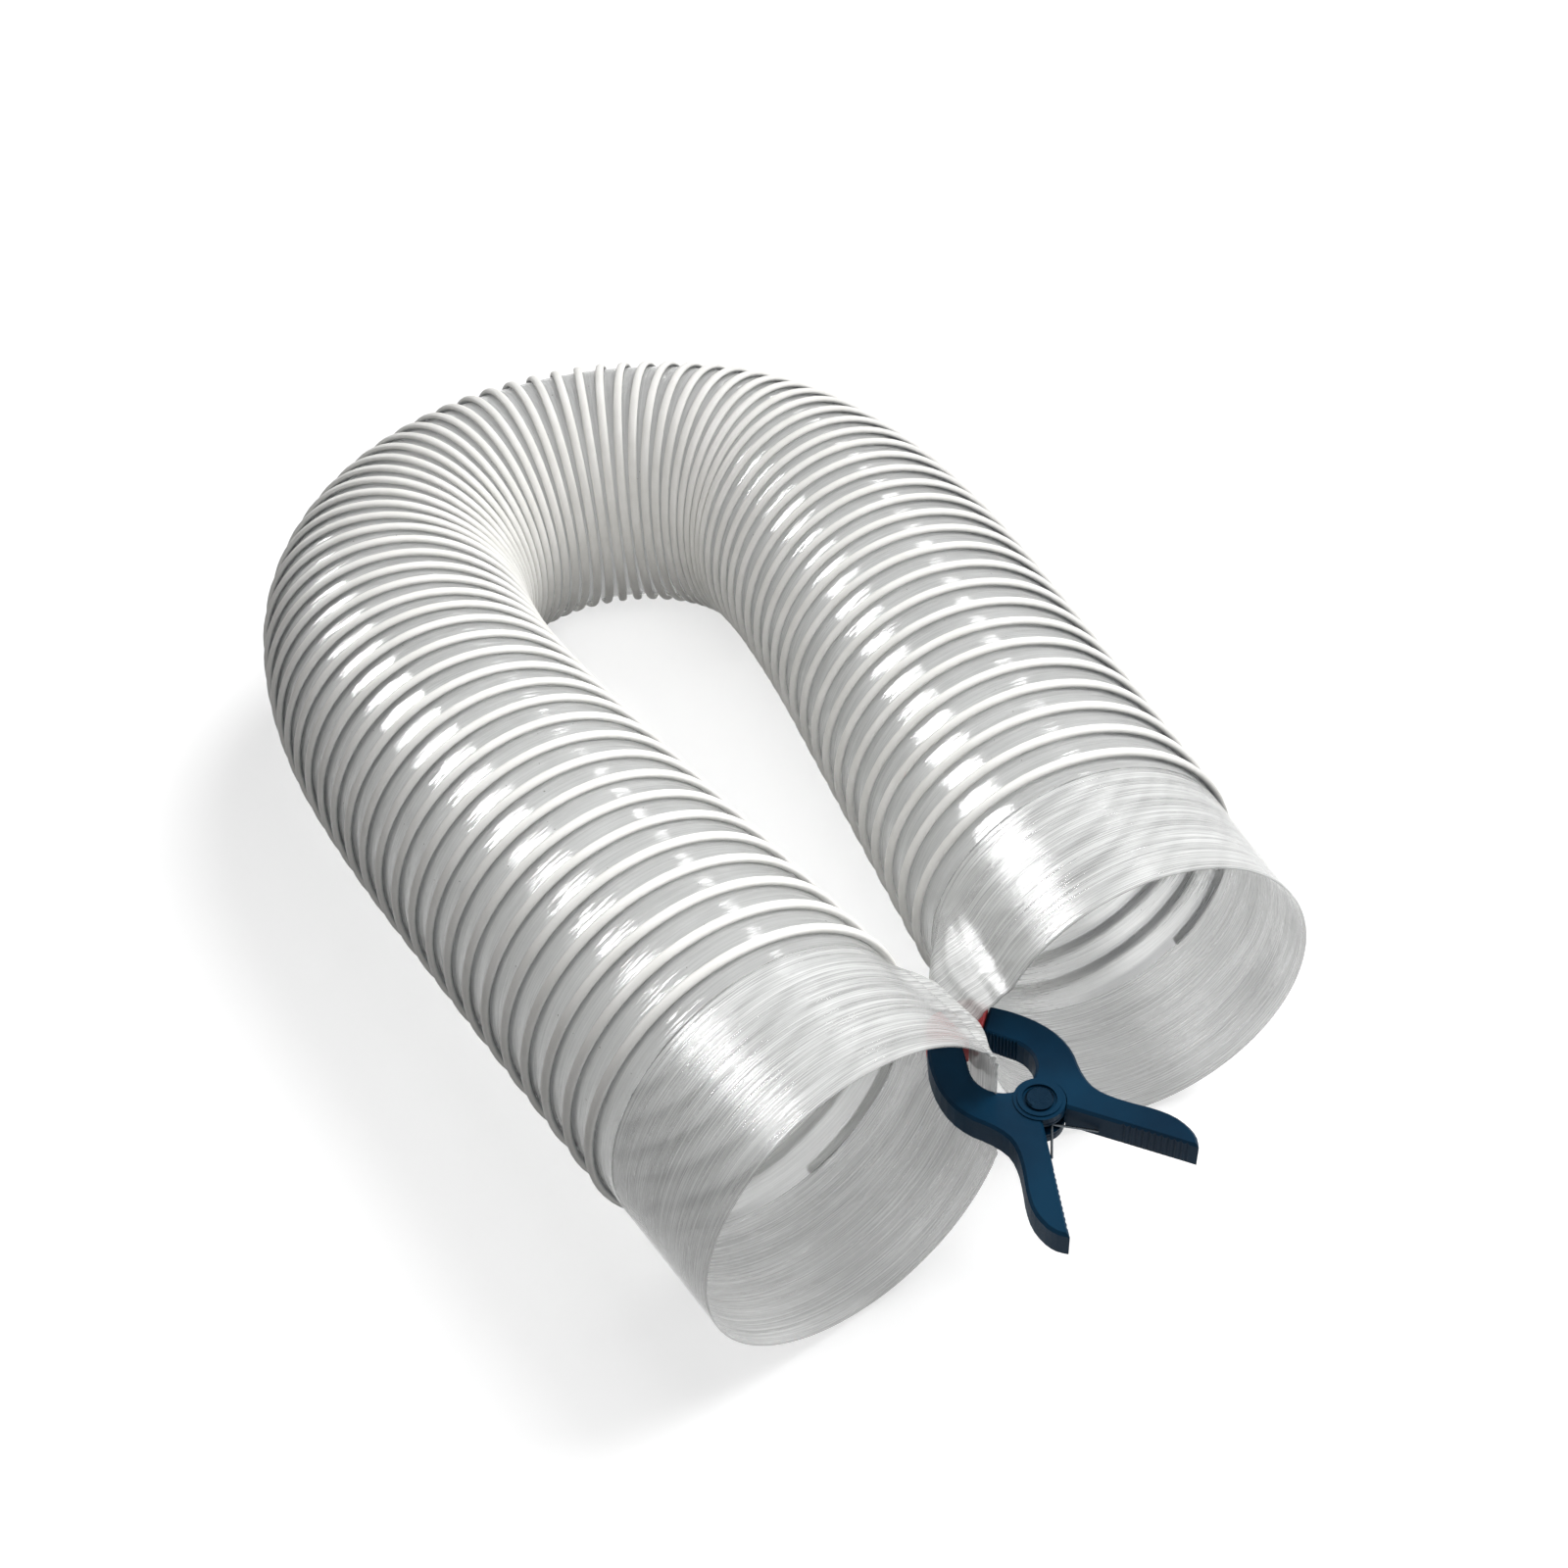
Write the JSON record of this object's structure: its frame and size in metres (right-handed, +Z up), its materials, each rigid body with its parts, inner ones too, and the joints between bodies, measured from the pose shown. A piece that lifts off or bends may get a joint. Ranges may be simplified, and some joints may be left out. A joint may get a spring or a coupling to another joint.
{
  "type": "flexible air duct",
  "caption": "Length of clear flexible air duct with a helical rib, bent into a U and lying flat, with a plain cuff on each end and a spring clamp holding the two cuffs together",
  "frame": {"origin": "centre of the bounding box at the level of the surface that the duct lies on", "axes": "+Z up; +Y from the two open ends towards the crown of the bend; +X from the left leg to the right leg as seen from the open ends"},
  "size_m": [0.2794, 0.4524, 0.1064],
  "materials": {
    "duct_film": "clear milky film, glossy",
    "helix_rib": "off-white rounded rib, glossy",
    "cuff_film": "clear film with fine winding lines, glossy",
    "clamp_body": "dark blue moulded plastic, satin",
    "clamp_pad": "red soft pad",
    "clamp_steel": "plain steel",
    "clamp_ring": "dark blue plastic, satin"
  },
  "bodies": {
    "front": {"left_cuff": "cuff_film", "right_cuff": "cuff_film", "left_mouth_film": "duct_film", "left_mouth_helix": "helix_rib", "right_mouth_film": "duct_film", "right_mouth_helix": "helix_rib", "left_flex_film": "duct_film", "left_flex_helix": "helix_rib", "right_flex_film": "duct_film", "right_flex_helix": "helix_rib"},
    "rear": {"left_leg_film": "duct_film", "left_leg_helix": "helix_rib", "bend_1_film": "duct_film", "bend_1_helix": "helix_rib", "bend_2_film": "duct_film", "bend_2_helix": "helix_rib", "bend_3_film": "duct_film", "bend_3_helix": "helix_rib", "bend_4_film": "duct_film", "bend_4_helix": "helix_rib", "bend_5_film": "duct_film", "bend_5_helix": "helix_rib", "bend_6_film": "duct_film", "bend_6_helix": "helix_rib", "right_leg_film": "duct_film", "right_leg_helix": "helix_rib"},
    "clamp": {"clamp_fixed_lever": "clamp_body", "clamp_fixed_pad": "clamp_pad", "clamp_pin": "clamp_steel", "clamp_pin_ring": "clamp_ring", "clamp_spring": "clamp_steel"},
    "clamp_arm": {"clamp_moving_lever": "clamp_body", "clamp_moving_pad": "clamp_pad"}
  },
  "joints": [
    {"name": "duct_flex", "type": "hinge", "parent": "front", "child": "rear", "pos_m": [0, -0.0316, 0.004], "axis": [1, 0, 0], "range_deg": [0, 20], "stiffness_Nm_per_rad": 0.3, "deforming": ["left_flex_film", "left_flex_helix", "right_flex_film", "right_flex_helix"]},
    {"name": "clamp_pull", "type": "slide", "parent": "front", "child": "clamp", "axis": [0.0785, -0.9969, 0], "range_m": [0, 0.06]},
    {"name": "clamp_jaw", "type": "hinge", "parent": "clamp", "child": "clamp_arm", "pos_m": [-0.01443, -0.1871, 0.0577], "axis": [0, 0, -1], "range_deg": [0, 40], "stiffness_Nm_per_rad": 0.6, "springref_deg": -51.57, "deforming": ["clamp_spring"]}
  ]
}
